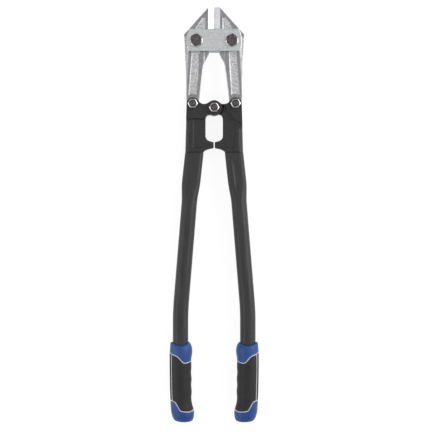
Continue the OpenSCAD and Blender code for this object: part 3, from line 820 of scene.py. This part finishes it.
for side, sign in SIDES.items():
    body = "handle_" + side

    def between(row, turn):
        """A row is how far from the lower seam to the upper one, the lift, and the two seams."""
        share, lift, lower, upper = row
        turn_a, height_a = lower(turn)
        turn_b, height_b = upper(turn)
        turn_here = turn_a + (turn_b - turn_a) * share
        return grip_point(sign, turn_here, height_a + (height_b - height_a) * share, lift)

    def collar_line(turn):
        return seam(COLLAR_SEAM, turn, 0.6)

    def sleeve_top(turn):
        return seam(COLLAR_SEAM, turn, -0.6)

    def sleeve_foot(turn):
        return seam(CAP_SEAM, turn, 0.6)

    def cap_line(turn):
        return seam(CAP_SEAM, turn, -0.6)

    def rim_line(turn):
        return turn, rim_height(turn)

    bm = bmesh.new()
    rows = [(0, -TUCK, collar_line, rim_line)]
    rows += [(math.sin(i / 60 * math.pi), 0, collar_line, rim_line) for i in range(31)]
    edges = drawn_out(bm, ring_of(bm, RING), rows, between)

    def rim_point(row, turn):
        """A row is how far below the rim it is, and its radius about the tube, in mm."""
        down, radius = row
        return Vector((sign * (GRIP_X + radius * math.cos(turn)) * MM,
                       grip_end + (rim_height(turn) - down) * MM,
                       middle + radius * math.sin(turn) * MM))

    made = bmesh.ops.extrude_edge_only(bm, edges=edges)["geom"]
    inner_edges = [e for e in made if isinstance(e, bmesh.types.BMEdge)
                   and all(v in made for v in e.verts)]
    lip_rows = [(0.0, 12.9), (0.5, 12.3), (2.0, 12.0), (6.0, BORE_R), (9, BORE_R)]
    drawn_out(bm, inner_edges, lip_rows, rim_point)
    bmesh.ops.recalc_face_normals(bm, faces=bm.faces)
    piece("grip_collar_skin_" + side, bm, body, ["grip_collar_" + side],
          [rubber["blue"]])

    bm = bmesh.new()
    rows = [(0, -TUCK, sleeve_foot, sleeve_top)]
    rows += [(i / 60, 0, sleeve_foot, sleeve_top) for i in range(61)]
    rows += [(1, -TUCK, sleeve_foot, sleeve_top)]
    drawn_out(bm, ring_of(bm, RING), rows, between)
    bmesh.ops.recalc_face_normals(bm, faces=bm.faces)
    piece("grip_sleeve_skin_" + side, bm, body, ["grip_sleeve_" + side],
          [rubber["black"]])

    def end_line(turn):
        return turn, 0.0

    bm = bmesh.new()
    rows = [(1, -TUCK, end_line, cap_line)]
    rows += [((1 - i / 24) ** 1.5, 0, end_line, cap_line) for i in range(25)]
    edges = drawn_out(bm, ring_of(bm, RING), rows, between)
    base = bmesh.ops.contextual_create(bm, geom=edges)["faces"]
    bmesh.ops.inset_region(bm, faces=base, thickness=3 * MM, depth=0.0)
    bmesh.ops.recalc_face_normals(bm, faces=bm.faces)
    piece("grip_cap_skin_" + side, bm, body, ["grip_cap_" + side], [rubber["cap_blue"]])

    # The piping is half round. Two rings follow the seams, and two straight ribs join them.
    profile = [(-1, -0.5), (-0.85, 0.35), (-0.4, 0.9), (0, 1), (0.4, 0.9), (0.85, 0.35), (1, -0.5)]
    bm = bmesh.new()
    for stations in (COLLAR_SEAM, CAP_SEAM):

        def bead_point(row, turn):
            offset, lift = row
            return grip_point(sign, *seam(stations, turn, offset * PIPING_WIDTH / 2), lift * PIPING_LIFT)

        drawn_out(bm, ring_of(bm, RING), profile, bead_point)
    # Along a rib, a point's "turn" is its place in the profile.
    place_in_profile = bm.verts.layers.float["turn"]
    for face_sign in (1, -1):
        chain = []
        for across in range(len(profile)):
            v = bm.verts.new()
            v[place_in_profile] = across
            chain.append(v)
        start = [bm.edges.new(pair) for pair in zip(chain, chain[1:])]

        def rib_point(share, across):
            offset, lift = profile[round(across)]
            turn = face_sign * RIB_TURN + offset * PIPING_WIDTH / 2 / SKIN_R
            low = seam(CAP_SEAM, turn)[1]
            high = seam(COLLAR_SEAM, turn)[1]
            return grip_point(sign, turn, low + (high - low) * share, lift * PIPING_LIFT * 0.8)

        drawn_out(bm, start, [i / 40 for i in range(41)], rib_point)
    bmesh.ops.recalc_face_normals(bm, faces=bm.faces)
    piece("grip_piping_" + side, bm, body, ["grip_core_" + side], [rubber["grey"]])

# ---- Studio -------------------------------------------------------------------------------------
# The tool lies on a white light table under a pale dome, with a large soft light on the right and a
# weaker one on the left, and it is looked at from straight above.

scene = bpy.context.scene
scene.view_settings.view_transform = "Standard"

floor_mesh = bpy.data.meshes.new("table")
bm = bmesh.new()
bmesh.ops.create_grid(bm, x_segments=1, y_segments=1, size=6.0)
bm.transform(Matrix.Translation((0, 0, -0.3 * MM)))
bm.to_mesh(floor_mesh)
bm.free()
floor = bpy.data.objects.new("table", floor_mesh)
scene.collection.objects.link(floor)
table_white, tree, shader = finish("table_white")
shader.inputs["Base Color"].default_value = linear("#808080")
shader.inputs["Roughness"].default_value = 0.9
shader.inputs["Specular IOR Level"].default_value = 0.0
shader.inputs["Emission Color"].default_value = (1.0, 1.0, 1.0, 1.0)
shader.inputs["Emission Strength"].default_value = 0.88
floor_mesh.materials.append(table_white)

world = bpy.data.worlds.new("pale_dome")
world.use_nodes = True
scene.world = world
tree = world.node_tree
direction = add(tree, "TexCoord").outputs["Generated"]
height = add(tree, "SeparateXYZ", {"Vector": direction}).outputs["Z"]
dome = add(tree, "ValToRGB", {"Fac": height})
dome.color_ramp.elements[0].position = 0.1
dome.color_ramp.elements[0].color = (0.36, 0.36, 0.36, 1.0)
dome.color_ramp.elements[1].position = 0.97
dome.color_ramp.elements[1].color = (0.68, 0.68, 0.68, 1.0)
shoulder = dome.color_ramp.elements.new(0.72)
shoulder.color = (0.42, 0.42, 0.42, 1.0)
background = tree.nodes["Background"]
tree.links.new(dome.outputs["Color"], background.inputs["Color"])
background.inputs["Strength"].default_value = 1.0

lamps = (("key", (1.4, 0.6, 0.88), 2.2, 22.0), ("fill", (-1.5, -0.3, 0.9), 1.6, 9.0))
for name, at, width, watts in lamps:
    lamp = bpy.data.lights.new(name, "AREA")
    lamp.shape = "RECTANGLE"
    lamp.size = width
    lamp.size_y = 1.0
    lamp.energy = watts
    light = bpy.data.objects.new(name, lamp)
    light.location = at
    light.rotation_euler = (-Vector(at)).to_track_quat("-Z", "Y").to_euler()
    scene.collection.objects.link(light)

CAMERA_HEIGHT = 1.6
VIEW_HEIGHT = 0.6446
lens = bpy.data.cameras.new("overhead")
lens.sensor_fit = "VERTICAL"
lens.sensor_height = 24
lens.lens = lens.sensor_height * CAMERA_HEIGHT / VIEW_HEIGHT
camera = bpy.data.objects.new("overhead", lens)
camera.location = (-0.0010, -0.0061, middle + CAMERA_HEIGHT)
scene.collection.objects.link(camera)
scene.camera = camera
